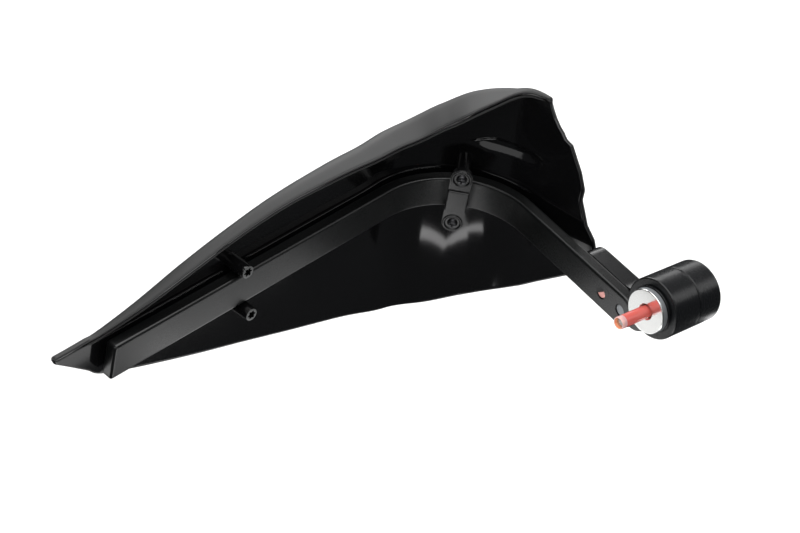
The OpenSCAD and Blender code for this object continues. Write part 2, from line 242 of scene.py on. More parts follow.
# %% [markdown]
# The shell is one moulded skin. It could be sculpted, or stretched over a few drawn curves, but then nothing
# would tie it to the bar. So sixteen stations along it carry its lower edge, its upper edge and the depth of
# its lip, all in bar lengths and heights, and a smooth curve runs through each row of the table. The rim table
# gives the stepped outboard edge: how far up it is, and the length u there.

# %% Shell: the stations
LOW_U = [-23.6, -17, -8, -1, 20, 50, 79, 110, 144, 172, 199.5, 222.7, 244, 265, 281, 297.5]
LOW_Z = [9, 3.2, -5, -11.5, -20.2, -30.8, -39.8, -49.4, -59.3, -68.3, -73.5, -68.6, -57, -39, -25, -10.4]
TOP_U = [-24.2, -17, -8, 0, 22, 50, 80, 108, 138, 166, 190, 206, 218, 229, 238, 246.5]
TOP_Z = [11.6, 11.6, 11.9, 12.2, 17.6, 26, 32.7, 37.6, 38.9, 37.3, 37.7, 44.5, 52.1, 57.1, 59.9, 59.3]
LIP_D = [1.2, 1.3, 1.4, 1.7, 4.3, 6.8, 7.9, 10, 12.5, 14.8, 17.4, 20, 22, 16.5, 5, 1.2]
RIM = np.array([[0, 297.5], [0.15, 293.7], [0.22, 291.7], [0.3, 286], [0.46, 278], [0.54, 277.3], [0.648, 272.3],
                [0.8, 262.4], [0.815, 258], [0.87, 252.8], [0.911, 250.2], [0.96, 248], [1, 246.5]])


def through(table, x):
    """Catmull-Rom curve through a table, x counted in its entries."""
    table = np.asarray(table, float)
    i = np.clip(np.floor(x).astype(int), 0, len(table) - 2)
    t = x - i
    a, b, c, d = (table[np.clip(i + k, 0, len(table) - 1)] for k in (-1, 0, 1, 2))
    return 0.5 * (2 * b + (c - a) * t + (2 * a - 5 * b + 4 * c - d) * t ** 2 + (3 * b - a - 3 * c + d) * t ** 3)


print("stations:", len(TOP_U), "- height at the middle one, mm:", round(float(through(TOP_Z, 8.0)), 1))

# %% [markdown]
# The wall stands a small gap behind the bar. Above the bar it leans outward, more so at the bend, and below it
# curls back towards the rider. It's one formula in u and z, because the posts and the channel's line have to
# find the same wall later.

# %% Shell: where the wall stands
BAR_T, GAP, CURL = 6.5, 2.0, 13.0


def smooth(x, a, b):
    """Zero before a, one after b, and an easy S between them."""
    t = np.clip((x - a) / (b - a), 0, 1)
    return t * t * (3 - 2 * t)


def wall_off(u, z):
    """Wall's offset = bar and gap + widening at the bend + lean x height above - slant and curl x depth below."""
    base = BAR_T + GAP + 1.5 * smooth(u, 160, 200) + 7.5 * smooth(u, 245, 300)
    lean = 0.05 + 0.17 * smooth(u, 120, 215)
    below, straight = np.maximum(-9.7 - z, 0), 1 - smooth(u, 140, 185)
    slant, curl = 0.07 * straight * below, (CURL - 5.2 * straight) * (below / 60) ** 2
    return base + lean * np.maximum(z - 10, 0) - slant - curl


print("wall's offset 60 mm below the bar's middle, run and bend, mm:",
      [round(float(wall_off(u, -60.0)), 1) for u in (80, 200)])

# %% [markdown]
# Now the whole inner face is a function of two numbers: x, counted in stations, and q, which climbs the wall
# from 0 to 1, turns over the crown from 1 to 2 and comes back along the lip from 2 to 3. The crown is a
# quadratic curve with its corner where wall and lip would meet.

# %% Shell: the inner face
CROWN_R, LIP_FALL, LAST = 7, 0.12, 15


def skin(x, q):
    """Inner face at station x and climb q: lower edge + climb x height, with crown and lip, set on the path."""
    ub, ut, zb, zt = (through(t, x) for t in (LOW_U, TOP_U, LOW_Z, TOP_Z))
    d = through(LIP_D, x)
    r = np.minimum(CROWN_R, 0.7 * d)
    v, t, s = np.clip(q, 0, 1), np.clip(q - 1, 0, 1), np.clip(q - 2, 0, 1)
    z = zb + v * (zt - r - zb)
    stepped = np.interp(v, RIM[:, 0], RIM[:, 1]) - (LOW_U[LAST] + v * (TOP_U[LAST] - LOW_U[LAST]))
    u = ub + v * (ut - ub) + smooth(x, 11.5, LAST) * stepped
    off, corner = wall_off(u, z), wall_off(ut, zt)
    over = q > 1
    o_top = (1 - t) ** 2 * wall_off(ut, zt - r) + 2 * t * (1 - t) * corner + t * t * (corner - r) - s * (d - r)
    z_top = (1 - t) ** 2 * (zt - r) + 2 * t * (1 - t) * zt + t * t * (zt - LIP_FALL * r) - s * LIP_FALL * (d - r)
    u, off, z = np.where(over, ut, u), np.where(over, o_top, off), np.where(over, z_top, z)
    return along(u, off, z), u, z


print("crown over the bend, mm:", skin(np.array([[10.0]]), np.array([[1.5]]))[0].round(1).tolist())

# %% [markdown]
# An even grid would waste points on the flat wall and starve the edges. Near each free edge the rows and
# columns crowd together, because there the wall's two faces round over into each other, and the rows are also
# closer where the scoop will be. Elsewhere a row is about a millimetre, two pixels of the photograph. EDGE_MM
# says how far from an edge the first ones stand, and TIP_MM and RIM_MM are roughly one station's length in
# millimetres at the inboard and the outboard end.

# %% Shell: where the rows and columns go
EDGE_MM = np.array([0, 0.04, 0.12, 0.26, 0.46, 0.74, 1.1])
TIP_MM, RIM_MM = 3.3, 16.5
stations = np.concatenate([EDGE_MM / TIP_MM, np.linspace(0.42, 14.9, 322), LAST - EDGE_MM[::-1] / RIM_MM])[:, None]
height = through(TOP_Z, stations) - through(LOW_Z, stations)
crowd = np.minimum(EDGE_MM[None, :] / height, np.arange(7)[None, :] / 12)
dense = np.linspace(0, 1, 400)
weight = np.cumsum(1 + 1.6 * np.exp(-((dense - 0.82) / 0.06) ** 2))
climb = np.interp(np.linspace(0, 1, 99)[1:], (weight - weight[0]) / (weight[-1] - weight[0]), dense)[None, :]
wall_rows = crowd[:, -1:] + (1 - crowd[:, -1:]) * climb
crown_rows = np.broadcast_to(1 + np.linspace(0, 1, 13)[None, 1:], (len(stations), 12))
depth = through(LIP_D, stations)
flat = np.maximum(depth - np.minimum(CROWN_R, 0.7 * depth), 0.1)
close = 1 - np.minimum(EDGE_MM[None, ::-1] / flat, np.arange(7)[None, ::-1] / 12)
lip_rows = 2 + np.concatenate([close[:, :1] * np.linspace(0, 1, 7)[None, 1:-1], close], 1)
climbs = np.concatenate([crowd, wall_rows, crown_rows, lip_rows], 1)
inner, U, Z = skin(np.broadcast_to(stations, climbs.shape), climbs)
print("shell grid:", inner.shape[:2])

# %% [markdown]
# The scoop in the wall above the bend is a leaf-shaped recess with a ledge that faces up. A cut would leave a
# hard rim, and a moulding has none, so it's a push of the inner face outward, between two curves drawn in bar
# lengths and heights, fading in at both ends.

# %% Shell: the scoop
SCOOP_DEPTH = 1.7
low_line = np.interp(U, [214, 226.8, 233.3, 240, 247, 254], [24.0, 22.2, 22.4, 23.0, 23.8, 24.6])
high_line = np.interp(U, [214, 220.5, 225, 229, 236.8, 245, 254], [24.4, 25.4, 27.4, 28.6, 28.9, 28.6, 28.0])
leaf = np.clip((Z - low_line) / 3.6, 0, 1) * (1 - smooth(Z, high_line - 0.2, high_line + 1.0))
leaf *= smooth(U, 216, 228) * (1 - smooth(U, 243, 253)) * (climbs < 1) * (stations > 9)
print("scoop's share of the grid:", round(float((leaf > 0).mean()), 3))

# %% [markdown]
# The plastic's thickness could be left to a Solidify modifier, but its edges would be square. Here both faces
# stand half the thickness from a middle surface, and that half shrinks to nothing towards every free edge
# along a squarish quarter round, so the two faces meet in one closed, rounded skin.

# %% Shell: thickness and closed skin
WALL = 2.55


def unit(v):
    """Vectors divided by their lengths."""
    return v / np.maximum(np.linalg.norm(v, axis=-1, keepdims=True), 1e-9)


def from_edge(points, axis):
    """Length along the surface from both ends of the grid's rows or columns."""
    step = np.linalg.norm(np.diff(points, axis=axis), axis=-1)
    pad = [(0, 0), (0, 0)]
    pad[axis] = (1, 0)
    run = np.cumsum(np.pad(step, pad), axis=axis)
    return run, run.max(axis=axis, keepdims=True) - run


def edge_round(s, r=1.15, power=2.8):
    """From 0 at the edge to 1 at r inside it: (1 - (1 - s / r) ^ power) ^ (1 / power)."""
    return (1 - (1 - np.clip(s / r, 0, 1)) ** power) ** (1 / power)


normal = unit(np.cross(np.gradient(inner, axis=1), np.gradient(inner, axis=0)))
half = WALL / 2 * np.ones(U.shape)
for axis in (0, 1):
    for s in from_edge(inner, axis):
        half *= edge_round(s)
middle = inner + normal * WALL / 2
face_in = middle - normal * half[..., None] + normal * (SCOOP_DEPTH * leaf * half / (WALL / 2))[..., None]
face_out = middle + normal * half[..., None]
n, m = U.shape
shell_points = np.concatenate([face_in.reshape(-1, 3), face_out.reshape(-1, 3)])
shell_faces = np.concatenate([grid_faces(n, m), grid_faces(n, m, start=n * m)[:, ::-1]])
side = np.repeat([0, 1], (n - 1) * (m - 1))
piece("shell", metres(shell_points), shell_faces, [INSIDE, OUTSIDE], ["guard_shell"],
      picks=side, angle=60, merge=1e-6)
print("shell triangles:", 2 * len(shell_faces))

# %% [markdown]
# The shell's free edge is stepped: a fine bead runs along the lip and down the outboard edge, and a second one
# lies just under the lip. They catch the light as the two thin lines that outline the opening. A bump in the
# material would vanish at such an edge, so each bead is a small round section swept along it.

# %% Beads on the free edges
BEAD_SIDES = 12


def fading(count, steps):
    """One along a run of points, falling evenly to zero over a few steps at both ends."""
    from_end = np.minimum(np.arange(count), np.arange(count)[::-1])
    return np.minimum(1, from_end / steps)


def edge_bead(name, points, to_edge, outward, lift, out, r):
    """Ring round a centre = edge + lift x outward + out x to_edge, its radius fading at both ends."""
    a = np.linspace(0, 2 * np.pi, BEAD_SIDES, endpoint=False)[None, :, None]
    thin = fading(len(points), 6)[:, None, None]
    centre = points + lift * outward + out * to_edge
    ring = centre[:, None] + thin * r * (np.cos(a) * to_edge[:, None] + np.sin(a) * outward[:, None])
    piece(name, metres(ring), grid_faces(len(points), BEAD_SIDES, wrap_cols=True), OUTSIDE)


lip = np.where((stations[:, 0] > 2.0) & (stations[:, 0] < 14.8))[0]
to_lip = unit(inner[lip, -1] - inner[lip, -9])
edge_bead("shell_lip_bead", inner[lip, -1], to_lip, normal[lip, -4], lift=1.9, out=-0.1, r=0.5)
edge_bead("shell_under_bead", inner[lip, -1], to_lip, normal[lip, -4], lift=-0.5, out=-0.4, r=0.6)
rim = np.where((climbs[-1] > 0.04) & (climbs[-1] < 1.0))[0]
to_rim = unit(inner[-1, rim] - inner[-9, rim])
edge_bead("shell_rim_bead", inner[-1, rim], to_rim, normal[-4, rim], lift=1.4, out=-0.1, r=0.55)
print("points along the lip and the rim:", len(lip), len(rim))

# %% [markdown]
# A thin raised line on the wall marks the channel that the backbone lies in. It's a small oval section carried
# along the wall by the same formula as the wall itself, and it's broken where the posts stand.

# %% Channel line
LINE_Z = 9.6


def carried(u, off, z, section):
    """Section's points (off, z) added at each length u; it shrinks and sinks 0.3 mm where it fades at its ends."""
    fade = fading(len(u), 4)[:, None]
    sunk = off[:, None] + section[None, :, 0] * fade - 0.3 * (1 - fade)
    return along(u[:, None], sunk, z + section[None, :, 1])


round_a = np.linspace(0, 2 * np.pi, BEAD_SIDES, endpoint=False)
oval = np.stack([-0.75 * np.cos(round_a), 0.5 * np.sin(round_a)], 1)
line_points, line_faces, so_far = [], [], 0
for u0, u1 in ((-4, 71), (85, 207), (225, 250)):
    u = np.linspace(u0, u1, int(u1 - u0))
    line_points.append(carried(u, wall_off(u, LINE_Z), LINE_Z, oval).reshape(-1, 3))
    line_faces.append(grid_faces(len(u), BEAD_SIDES, wrap_cols=True, start=so_far))
    so_far += len(u) * BEAD_SIDES
piece("shell_channel_line", metres(np.vstack(line_points)), np.vstack(line_faces), INSIDE)
print("points in the channel line:", so_far)

# %% [markdown]
# Posts, arm and clamp each belong at a place along the bar. They could be drawn where they end up, turned with
# the bend. It's easier to draw each about its own middle, and to let one function set it on the bar's rider side
# at its length u, turned as the bar is there.

# %% Setting things on the bar
CLAMP_U = 216.0


def at_bar(u, local):
    """Local points (x along the bar, y outward, z up) set on the rider-side face at length u."""
    t = np.clip((u - RUN) / BEND_R, 0, BEND_A)
    axes = np.array([[np.cos(t), -np.sin(t), 0], [np.sin(t), np.cos(t), 0], [0, 0, 1]])
    return along(u, 0.0, 0.0) + np.asarray(local, float) @ axes


def at_clamp(local):
    """The same at the clamp, which leans 5 degrees across the bar, its top outboard."""
    return at_bar(CLAMP_U, np.asarray(local, float) @ turned_about("y", 5).T)


print("clamp's middle, mm:", at_clamp([0, 0, 0]).round(1))

# %% [markdown]
# Screw posts rise from the wall: one pair carries the clamp, and one pair is spare. The spare pair shows its
# star-shaped cores, moulded so that a screw can cut its own thread. A boolean could cut the star, but rings of
# points with a wavy radius make it at once. The end ring is painted a lighter grey than the rest, a painted
# highlight on its rim.

# %% Posts
CLAMP_Z, POST_SIDES = 14.5, 72
# Painted highlight: the post's rounded rim and end ring get a light grey that stands in for the light they catch.
POST_END_PAINTED_HIGHLIGHT = finish("post_end_painted_highlight", "#4c4d4d", 0.5, grain_mm=0.3, grain=0.1)


def post(u, z, top=4.3, r=3.4, star=True):
    """Rings of points: outer wall, rounded rim, then the core, of radius 1.95 + 0.42 cos(6 a), going down."""
    a = np.linspace(0, 2 * np.pi, POST_SIDES, endpoint=False)
    core = 1.95 + (0.42 * np.cos(6 * a) if star else 0)
    root = float(wall_off(u, z)) + 1.0
    outer = [(r + 0.5, -root), (r + 0.25, 0), (r, top - 0.35), (r - 0.1, top - 0.1), (r - 0.35, top)]
    rings = [(np.full_like(a, rr), h) for rr, h in outer]
    rings += [(core + 0.15, top), (core, top - 0.15), (core, top - 9), (np.zeros_like(a), top - 9)]
    points = np.array([np.stack([rr * np.cos(a), np.full_like(a, -h), z + rr * np.sin(a)], 1) for rr, h in rings])
    return points, grid_faces(len(rings), POST_SIDES, wrap_cols=True)


for name, u, z in (("spare_post_upper", 76.3, 13.6), ("spare_post_lower", 78.0, -14.5)):
    p, f = post(u, z)
    picks = np.repeat([0, 0, 0, 1, 1, 0, 0, 0], POST_SIDES)
    piece(name, metres(at_bar(u, p)), f, [INSIDE, POST_END_PAINTED_HIGHLIGHT], picks=picks)
for name, z in (("clamp_post_upper", CLAMP_Z), ("clamp_post_lower", -CLAMP_Z)):
    p, f = post(CLAMP_U, z, star=False)
    piece(name, metres(at_clamp(p)), f, INSIDE)
    print(name, "faces:", len(f))

# %% [markdown]
# The backbone is one flat bar with rolled edges and a satin black coat. Bending a box with a modifier would
# stretch its finish and its holes. Here a closed outline in (u, z) is drawn once, then stacked in loops that
# are set in at both faces to give the rolled edges, and the path bends each loop.

# %% Backbone: the outline
HALF_W, CORNER, PITCH, END_SLANT, HOLE_R = 9.0, 1.6, 14.5, np.tan(np.radians(14)), 3.05
BAR = finish("satin_black_powder_coat", "#0c0d0d", 0.28, grain_mm=0.25, grain=0.03, bump=0.06)
lengths = np.concatenate([
    np.linspace(CORNER, RUN, 90), np.linspace(RUN, RUN + ARC, 90)[1:],
    RUN + ARC + np.linspace(0, TAIL - 24, 16)[1:], [REAR - PITCH / 2]])


def bar_outline(inset):
    """Closed outline in (u, z): lower edge, half round about the rear hole, upper edge, slanted inboard end."""
    h, r = HALF_W - inset, CORNER - inset
    low = np.stack([lengths, np.full(len(lengths), -h)], 1)
    turn = np.linspace(-np.pi / 2, np.pi / 2, 65)
    rear = np.stack([REAR + h * np.cos(turn), h * np.sin(turn)], 1)
    turn = np.linspace(np.pi / 2, np.pi, 7)[1:]
    top_corner = np.stack([CORNER + r * np.cos(turn), HALF_W - CORNER + r * np.sin(turn)], 1)
    low_corner = top_corner[::-1] * [1, -1]
    return np.concatenate([low, rear, low[::-1] * [1, -1], top_corner, low_corner[:-1]])


def on_bar(uz, off):
    """Outline points on the path, with the inboard end slanted so that it's longer at the bottom."""
    u, z = uz[..., 0], uz[..., 1]
    u = u + z * END_SLANT * (1 - smooth(u, 0, 40))
    return along(u, off, z)


quarter = np.linspace(0, np.pi / 2, 6)
front = [(1.3 * (1 - np.sin(q)), 1.3 * (1 - np.cos(q))) for q in quarter]
rear_side = [(1.0 * (1 - np.cos(q)), BAR_T - 1.0 * (1 - np.sin(q))) for q in quarter]
profile = [(1.5, 0.0)] + front + [(0, 1.5), (0, BAR_T - 1.2)] + rear_side + [(1.3, BAR_T)]
loops = np.stack([on_bar(bar_outline(inset), off) for inset, off in profile])
print("backbone's loops and points in each:", loops.shape[:2])

# %% [markdown]
# The two flat faces are strips of quads between the lower and the upper edge, up to the screw holes. There an
# outline and a hole are filled with triangles, one hole at a time.

# %% Filling an outline that has holes
def circle(x, z, r, sides=64):
    """Points of a circle about (x, z)."""
    a = np.linspace(0, 2 * np.pi, sides, endpoint=False)
    return np.stack([x + r * np.cos(a), z + r * np.sin(a)], 1)


def filled(name, rings, tidy, facing=None):
    """A mesh that fills closed rings of points: the first is the outline, the others are its holes."""
    turns, start = [], 0
    for ring in rings:
        k = np.arange(len(ring))
        turns.append(start + np.stack([k, (k + 1) % len(ring)], 1))
        start += len(ring)
    mesh = bpy.data.meshes.new(name)
    mesh.from_pydata(np.vstack(rings).tolist(), np.vstack(turns).tolist(), [])
    form = bmesh.new()
    form.from_mesh(mesh)
    bmesh.ops.triangle_fill(form, use_beauty=tidy, use_dissolve=tidy, edges=form.edges[:])
    for f in form.faces:
        if facing is not None and np.dot(np.array(f.normal), facing) < 0:
            f.normal_flip()
    form.to_mesh(mesh)
    form.free()
    return mesh


def triangles_of(mesh):
    """A triangle mesh's points and corners as whole arrays; the mesh is then removed."""
    co, corners = np.empty(3 * len(mesh.vertices), np.float32), np.empty(len(mesh.loops), np.int32)
    mesh.vertices.foreach_get("co", co)
    mesh.loops.foreach_get("vertex_index", corners)
    bpy.data.meshes.remove(mesh)
    return co.reshape(-1, 3).astype(float), corners.reshape(-1, 3)


print("points in a circle:", len(circle(0, 0, 1)))

# %% [markdown]
# Each quad of the strip joins a stretch of the lower edge to a stretch of the upper edge. They are paired one
# place too far on, which is a known fault: the last quad leans over part of the front screw hole. The holes'
# rims are eased, and a short tube joins the two faces in each.

# %% Backbone: faces, holes and the piece
EASE = 0.15
count = loops.shape[1]
points, faces = [loops.reshape(-1, 3)], grid_faces(len(profile), count, wrap_cols=True).tolist()
last, top = len(lengths) - 2, count - 13
for loop, (inset, off) in ((0, profile[0]), (len(profile) - 1, profile[-1])):
    j, uz = np.arange(last), bar_outline(inset)
    faces += (loop * count + np.stack([j, j + 1, top - 1 - j, top - j], 1)).tolist()
    faces.append([loop * count + k for k in [*range(top, count), 0]])
    front_part, rear_part = uz[[last, last + 1, top - 1 - last, top - last]], uz[last + 1:top - last]
    for outer, x in ((front_part, REAR - PITCH), (rear_part, REAR)):
        rings = [np.pad(ring, ((0, 0), (0, 1))) for ring in (outer, circle(x, 0, HOLE_R + EASE))]
        flat_points, corners = triangles_of(filled("tail_face", rings, False))
        faces += (sum(map(len, points)) + corners).tolist()
        points.append(on_bar(flat_points[:, :2], off))
for x in (REAR, REAR - PITCH):
    hole = [(HOLE_R + EASE, 0), (HOLE_R, EASE), (HOLE_R, BAR_T - EASE), (HOLE_R + EASE, BAR_T)]
    tube = np.stack([along(circle(x, 0, r)[:, 0], o, circle(x, 0, r)[:, 1]) for r, o in hole])
    faces += grid_faces(4, 64, wrap_cols=True, start=sum(map(len, points))).tolist()
    points.append(tube.reshape(-1, 3))
piece("backbone_bar", metres(np.vstack(points)), faces, BAR, ["backbone"], angle=40, merge=2e-6)
print("backbone's faces:", len(faces))

# %% [markdown]
# Flat parts with holes, such as the arm's plate and the clamp's strap, could be stacked in loops as well. But
# here two modifiers do it with less code: Solidify gives the filled outline its thickness, and Bevel rounds
# its edges.

# %% Plates
def plate(name, outline, holes, y0, y1, place_at, rounding, material, stands_for=()):
    """An (x, z) outline with round holes (x, z, r), filled at depth y0 and thickened to y1, its edges rounded."""
    flat_rings = [np.asarray(outline)] + [circle(*hole) for hole in holes]
    rings = [metres(place_at(np.stack([r[:, 0], np.full(len(r), y0), r[:, 1]], 1))) for r in flat_rings]
    near, far = (metres(place_at(np.array([[0.0, y, 0.0]])))[0] for y in (y0, y1))
    mesh = filled(name, rings, True, facing=far - near)
    mesh.materials.append(material)
    mesh.shade_smooth()
    made = bpy.data.objects.new(name, mesh)
    thick = made.modifiers.new("thickness", "SOLIDIFY")
    thick.thickness, thick.offset = (y1 - y0) * 0.001, 1.0
    soft = made.modifiers.new("rounded edges", "BEVEL")
    soft.width, soft.segments = rounding * 0.001, 4
    soft.limit_method, soft.angle_limit = "ANGLE", np.radians(40)
    soft.harden_normals = True
    print(name, "thickness, mm:", y1 - y0)
    return fitted(made, stands_for)


# %% [markdown]
# The arm is a casting with a flat plate against the bar and an eye round the handlebar's end. Its outline is
# made of arcs that touch each other: the bar's width round the front screw, a lobe under the eye, the eye's
# own round, and a hollow fillet where it turns up. Working out where they touch keeps it free of kinks.

# %% Connector arm
ARM_T, EYE_R, EYE_X0, EYE_X1 = 9.5, 15.2, 4.5, 21.0
EYE_AT, PLATE_R, LOBE_AT, LOBE_R, HOLLOW = np.array([20.5, 17.78]), 14.5, np.array([2.0, -1.0]), 11.0, 13.0
ARM = finish("black_coated_casting", "#0c0c0d", 0.24, grain_mm=0.5, grain=0.03, bump=0.12)


def arc(centre, r, a0, a1, steps=24):
    """Points on a circle from angle a0 to a1."""
    a = np.linspace(a0, a1, steps)
    return np.asarray(centre) + r * np.stack([np.cos(a), np.sin(a)], 1)


across = np.sqrt((PLATE_R + HOLLOW) ** 2 - (EYE_AT[1] - HALF_W - HOLLOW) ** 2)
hollow_at = np.array([EYE_AT[0] - across, HALF_W + HOLLOW])
towards = EYE_AT - LOBE_AT
touch = np.arctan2(towards[1], towards[0]) - np.arccos((LOBE_R - PLATE_R) / np.linalg.norm(towards))
meet = np.arctan2(*(hollow_at - EYE_AT)[::-1])
arm_outline = np.concatenate([
    arc((-31, 0), HALF_W, np.pi / 2, 1.5 * np.pi),
    arc(LOBE_AT, LOBE_R, -np.pi / 2 - 0.42, touch, 16),
    arc(EYE_AT, PLATE_R, touch, meet % (2 * np.pi), 40),
    arc(hollow_at, HOLLOW, meet - np.pi + 2 * np.pi * (meet < 0), -np.pi / 2, 14)[1:],
])
plate("arm_plate", arm_outline, [(0, 0, 5.3), (-PITCH, 0, 5.3)], BAR_T, BAR_T + ARM_T,
      lambda p: at_bar(REAR, p), 2.6, ARM, ["connector_arm"])

# %% [markdown]
# The eye, the weight, the spacer, the bolt and its sleeve are round about one axis, so each is a profile spun
# about it, as on a lathe. Small fillets matter most here, because they carry the bright lines that show where
# one part ends. A point close to each end of a long side keeps that side flat when it's shaded smooth.

# %% Spun profiles
def fillet(points, radii, steps=5):
    """A closed outline in 2-D with each corner rounded by its own radius: arcs tangent to both sides."""
    points, out = np.asarray(points, float), []
    for k, r in enumerate(radii):
        p, a, b = points[k], points[k - 1], points[(k + 1) % len(points)]
        if r <= 0:
            out.append(p[None])
            continue
        d1, d2 = (a - p) / np.linalg.norm(a - p), (b - p) / np.linalg.norm(b - p)
        half_angle = np.arccos(np.clip(d1 @ d2, -1, 1)) / 2
        centre = p + (d1 + d2) / np.linalg.norm(d1 + d2) * r / np.sin(half_angle)
        s1, s2 = p + d1 * r / np.tan(half_angle) - centre, p + d2 * r / np.tan(half_angle) - centre
        t = np.linspace(0, 1, steps + 1)[:, None]
        bow = s1 * (1 - t) + s2 * t
        out.append(centre + bow / np.linalg.norm(bow, axis=1, keepdims=True) * r)
    return np.vstack(out)


def supported(outline, gap=0.1):
    """The same outline with a point close to each end of every long side."""
    out = []
    for a, b in zip(outline, np.roll(outline, -1, 0)):
        out.append(a)
        length = np.linalg.norm(b - a)
        if length > 4 * gap:
            out += [a + (b - a) * gap / length, b - (b - a) * gap / length]
    return np.array(out)


def revolve(outline, segments):
    """(x, r) turned about the x axis: (x, r cos a, r sin a)."""
    a = np.linspace(0, 2 * np.pi, segments, endpoint=False)[None, :]
    x, r = outline[:, 0:1], outline[:, 1:2]
    points = np.stack(np.broadcast_arrays(x, r * np.cos(a), r * np.sin(a)), -1)
    return points, grid_faces(len(outline), segments, wrap_rows=True, wrap_cols=True)


def spin(name, corners, radii, material, stands_for=(), picks=None, segments=128):
    """(x, r) corners, rounded and turned about the bar end's axis; picks maps a side's middle x to a finish."""
    outline = supported(fillet(corners, radii))
    points, faces = revolve(outline, segments)
    middle_x = (outline[:, 0] + np.roll(outline, -1, 0)[:, 0]) / 2
    chosen = None if picks is None else np.repeat(picks(middle_x).astype(int), segments)
    print(name, "reaches, mm:", float(outline[:, 0].min()), "to", float(outline[:, 0].max()))
    return piece(name, metres(points, guard=False), faces, material, stands_for, chosen, angle=50)


# %% [markdown]
# The eye and the weight are black anodised, with fine turning marks: the grain is stretched round the axis.
# The spacer has a bright machined face, a side painted light grey as a painted reflection, and a black collar.

# %% Eye, weight and spacer
WEIGHT_X, ROUND_GRAIN = 35.7, (1, 0.04, 0.04)
TURNED_BLACK = finish("turned_black_anodised_aluminium", "#0e0f11", 0.26, grain_mm=0.12, grain=0.05, bump=0.1,
                      stretch=ROUND_GRAIN)
# Painted reflection: on the spacer's side this light grey stands in for the reflected light; on the rear screw's
# end it is the metal's own grey.
GREY_WITH_PAINTED_REFLECTION = finish("grey_metal_and_painted_reflection", "#8d9093", 0.42, metal=0.5, grain_mm=0.12, grain=0.05,
                     stretch=ROUND_GRAIN)
BRIGHT = finish("machined_bright_aluminium", "#f2f2f0", 0.16, metal=1.0, grain_mm=0.12, grain=0.04)
spin("arm_eye",
     [[EYE_X0, 3.6], [EYE_X0, EYE_R], [EYE_X1 - 0.35, EYE_R], [EYE_X1 - 0.35, EYE_R - 0.8], [20.8, 3.6]],
     [0, 0.7, 0.4, 0, 0], TURNED_BLACK)
spin("weight_body",
     [[EYE_X1, 3.6], [EYE_X1, EYE_R], [WEIGHT_X, EYE_R], [WEIGHT_X, 4.65], [29.7, 4.65], [29.7, 3.6]],
     [0, 0.6, 1.6, 0.4, 0, 0], TURNED_BLACK, ["end_weight"])
spin("spacer_body",
     [[0, 4.15], [0, 11.0], [3.0, 11.0], [3.0, 10.7], [3.3, 10.7], [3.3, 11.6], [EYE_X0, 11.6], [EYE_X0, 3.4],
      [0.8, 3.4]],
     [0.1, 0.45, 0.1, 0, 0, 0.3, 0, 0, 0], [BRIGHT, GREY_WITH_PAINTED_REFLECTION, TURNED_BLACK], ["bar_spacer"],
     picks=lambda x: (x > 0.5).astype(int) + (x > 3.0))

# %% [markdown]
# The long bolt is zinc plated. A coral vinyl tube protects its free end, and light passes some way into the
# vinyl, so it has a little subsurface scattering. Past the bolt's end the tube is empty and looks paler.

# %% Bolt and sleeve
ZINC = finish("zinc_plated_steel", "#c9c9c6", 0.25, metal=1.0, grain_mm=0.2, grain=0.05)
SLEEVE = finish("coral_vinyl_tube", "#ff6a60", 0.2, grain_mm=0.8, grain=0.02, Subsurface_Weight=0.35)
SLEEVE_END = finish("clear_pink_vinyl_end", "#ffb2ac", 0.14, grain_mm=0.8, grain=0.02, Subsurface_Weight=0.4)
spin("bolt_shank", [[-16.2, 0], [-16.2, 2.5], [34, 2.5], [34, 0]], [0, 0.5, 0, 0], ZINC)
spin("bolt_head", [[29.7, 0], [29.7, 4.25], [34.7, 4.25], [34.7, 2.31], [32.1, 2.31], [32.1, 0]],
     [0, 0, 0.5, 0.15, 0, 0], ZINC, ["end_bolt"])
spin("sleeve_tube", [[-17.7, 2.52], [-17.7, 3.1], [-14.8, 3.1], [3.4, 3.1], [3.4, 2.52]],
     [0.1, 0.4, 0, 0, 0], [SLEEVE, SLEEVE_END], ["thread_sleeve"], picks=lambda x: x < -15.0)

# %% [markdown]
# Two cap screws hold the arm to the tapped bar. On the rider's side their ends show half a millimetre down in
# the bar's holes, and one still has the pinkish patch of its thread lock. Each screw is one profile too, spun
# and then set on the bar, with its socket left round because nothing shows it.

# %% Arm screws
BLACK_STEEL = finish("black_oxide_steel", "#4a4a4c", 0.32, metal=1.0, grain_mm=0.2, grain=0.05)
PATCH = finish("thread_lock_film_on_zinc", "#f0b0a8", 0.35, metal=0.8, grain_mm=0.3, grain=0.1)


def cap_screw(x, end_finish, name, stands_for):
    """End, shank, head and socket as one (y, r) profile, spun about y and set x along from the rear hole."""
    corners = [[0.5, 0], [0.5, 2.95], [10.4, 2.95], [10.4, 5.0], [15.4, 5.0], [15.4, 2.9], [12.4, 2.9], [12.4, 0]]
    outline = supported(fillet(corners, [0, 0.5, 0, 0, 0.6, 0.1, 0, 0], 4))
    p, f = revolve(outline, 72)
    local = np.stack([x + p[..., 1], p[..., 0], p[..., 2]], -1)
    picks = np.repeat((outline[:, 0] < 1.2).astype(int), 72)
    piece(name, metres(at_bar(REAR, local)), f, [BLACK_STEEL, end_finish], [stands_for], picks)
    print(name, "with", end_finish.name)


cap_screw(-PITCH, PATCH, "cap_screw_front", "arm_screw_front")
cap_screw(0.0, GREY_WITH_PAINTED_REFLECTION, "cap_screw_rear", "arm_screw_rear")

# %% [markdown]
# The saddle clamp is a moulded strap over the bar: a raised block in the middle, and at each end a round foot,
# dished to take its screw. Strap and block are plates, and each dish is a spun ring laid on the strap.

